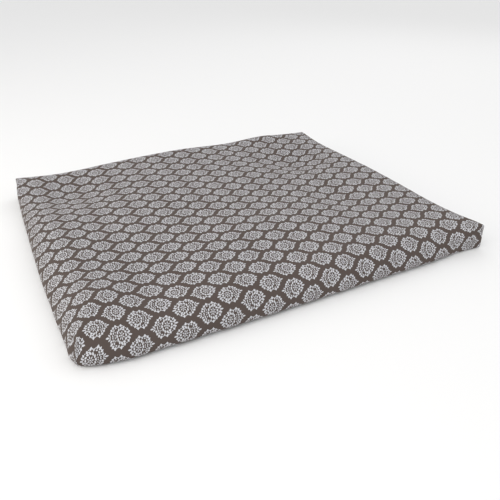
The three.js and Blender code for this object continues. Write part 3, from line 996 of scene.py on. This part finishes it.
# ---------------------------------------------------------------- zip
# A nylon coil zip, 640 mm long, sewn in behind the rear side: two herringbone tapes, each with a coil of
# monofilament along its edge, and cast stops, slider and pull.
def tape_paint():
    """Herringbone tape: slanting ribs that turn over at every rib column along it, with painted shade in
    their troughs.
    """
    rib_column, rib_pitch = 3.6, 0.9  # mm
    paint, tree, shader = new_paint("zip_tape", {"Roughness": 0.85})
    place = tree.nodes.new("ShaderNodeTexCoord")
    split = tree.nodes.new("ShaderNodeSeparateXYZ")
    tree.links.new(place.outputs["Object"], split.inputs[0])
    x, z = Value(tree, split.outputs["X"]) * 1000, Value(tree, split.outputs["Z"]) * 1000
    column = z * (1 / rib_column)
    fold_back = ((column.fraction() - 0.5).abs() - 0.25) * rib_column
    rib_height = ((x + fold_back * 2) * (2 * math.pi / rib_pitch)).math("SINE") * 0.5 + 0.5
    # Painted shade and light: the colour follows the rib height, dark in the troughs and light on the crests.
    tone = mixed_colour(tree, rib_height.socket, (0.045, 0.038, 0.035, 1), (0.105, 0.089, 0.080, 1))
    tree.links.new(tone, shader.inputs["Base Color"])
    add_bump(tree, shader, rib_height.socket, distance=0.0002)
    return paint


def metal_paint():
    """Lacquered die-cast zinc, dark, rubbed a little brighter here and there, with a fine grain."""
    paint, tree, shader = new_paint("zip_metal", {"Metallic": 1.0, "Coat Weight": 0.3})
    rub = object_texture(tree, "ShaderNodeTexNoise", {"Scale": 160, "Detail": 5})
    worn = ((Value(tree, rub) - 0.35) * 2.5).clamped()
    tone = mixed_colour(tree, worn.socket, (0.26, 0.25, 0.24, 1), (0.42, 0.40, 0.38, 1))
    tree.links.new(tone, shader.inputs["Base Color"])
    tree.links.new((worn * -0.12 + 0.40).socket, shader.inputs["Roughness"])
    add_bump(tree, shader, rub, distance=0.00005, strength=0.4)
    return paint


def dress(node, paint):
    """Gives a CAD node's object its finish."""
    for slot in bpy.data.objects[node].material_slots:
        slot.material = paint


def coil(name, node, side):
    """One side's coil: a monofilament helix along X in the box its CAD solid holds, ten points a turn,
    each with a five-sided ring round it, and closed ends."""
    box_low, box_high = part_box(node)
    wire, pitch, per_turn = 0.00030, 0.0015, 10
    turns = int((box_high.x - box_low.x) / pitch)
    t = np.arange(turns * per_turn + 1) / per_turn
    x = box_low.x + wire + t / turns * (box_high.x - box_low.x - 2 * wire)
    mid_y, mid_z = (box_low.y + box_high.y) / 2, (box_low.z + box_high.z) / 2
    reach_y, reach_z = (box_high.y - box_low.y) / 2 - wire, (box_high.z - box_low.z) / 2 - wire
    turn = 2 * math.pi * (t + (0.5 if side > 0 else 0))
    path = np.stack([x, mid_y + reach_y * np.cos(turn), mid_z + side * reach_z * np.sin(turn)], 1)
    ahead = np.gradient(path, axis=0)
    ahead /= np.linalg.norm(ahead, axis=1, keepdims=True)
    out = np.stack([np.zeros_like(t), np.cos(turn), side * np.sin(turn)], 1)
    out -= ahead * (out * ahead).sum(1, keepdims=True)
    out /= np.linalg.norm(out, axis=1, keepdims=True)
    across_it = np.cross(ahead, out)
    angle = np.linspace(0, 2 * math.pi, 5, endpoint=False)
    rings = path[:, None] + wire * (
        out[:, None] * np.cos(angle)[:, None] + across_it[:, None] * np.sin(angle)[:, None]
    )
    index = np.arange(rings.size // 3).reshape(rings.shape[:2])
    after = np.roll(index, -1, axis=1)
    tube = np.stack([index[:-1], after[:-1], after[1:], index[1:]], -1).reshape(-1, 4)
    ends = [index[0][::-1].tolist(), index[-1].tolist()]
    return mesh_object(name, rings.reshape(-1, 3), tube, caps=ends)


tape_finish = tape_paint()
dress("zip_tape_upper", tape_finish)
dress("zip_tape_lower", tape_finish)
nylon_finish = plain_paint("zip_coil", (0.085, 0.072, 0.064), 0.38, 300, 0.35, 0.00005)
for place, side in (("upper", 1), ("lower", -1)):
    wound = coil(f"coil_{place}", f"zip_coil_{place}", side)
    wound.data.materials.append(nylon_finish)
    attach(wound, "cushion")
    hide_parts(f"zip_coil_{place}")


metal_finish = metal_paint()


def cast_piece(name, node, body, softness):
    """A cast piece on its CAD solid's own faces: a copy of them merged into one skin, with its flat faces
    joined up, and every sharp edge rounded by a bevel."""
    mesh = bpy.data.objects[node].data.copy()
    mesh.name = name
    skin = bmesh.new()
    skin.from_mesh(mesh)
    bmesh.ops.remove_doubles(skin, verts=skin.verts, dist=1e-6)
    bmesh.ops.dissolve_limit(skin, angle_limit=math.radians(1), verts=skin.verts, edges=skin.edges)
    bmesh.ops.recalc_face_normals(skin, faces=skin.faces)
    skin.to_mesh(mesh)
    skin.free()
    made = bpy.data.objects.new(name, mesh)
    collection.objects.link(made)
    edge = made.modifiers.new("cast_edge", "BEVEL")
    edge.width = softness
    edge.segments = 2
    edge.limit_method = "ANGLE"
    edge.angle_limit = math.radians(35)
    mesh.materials.clear()
    mesh.materials.append(metal_finish)
    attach(made, body)
    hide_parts(node)


cast_piece("top_stop_upper", "zip_top_stop_upper", "cushion", 0.0003)
cast_piece("top_stop_lower", "zip_top_stop_lower", "cushion", 0.0003)
cast_piece("bottom_stop", "zip_bottom_stop", "cushion", 0.0003)
cast_piece("slider_body", "zip_slider", "slider", 0.00035)
cast_piece("pull_tab", "zip_pull", "pull", 0.00035)
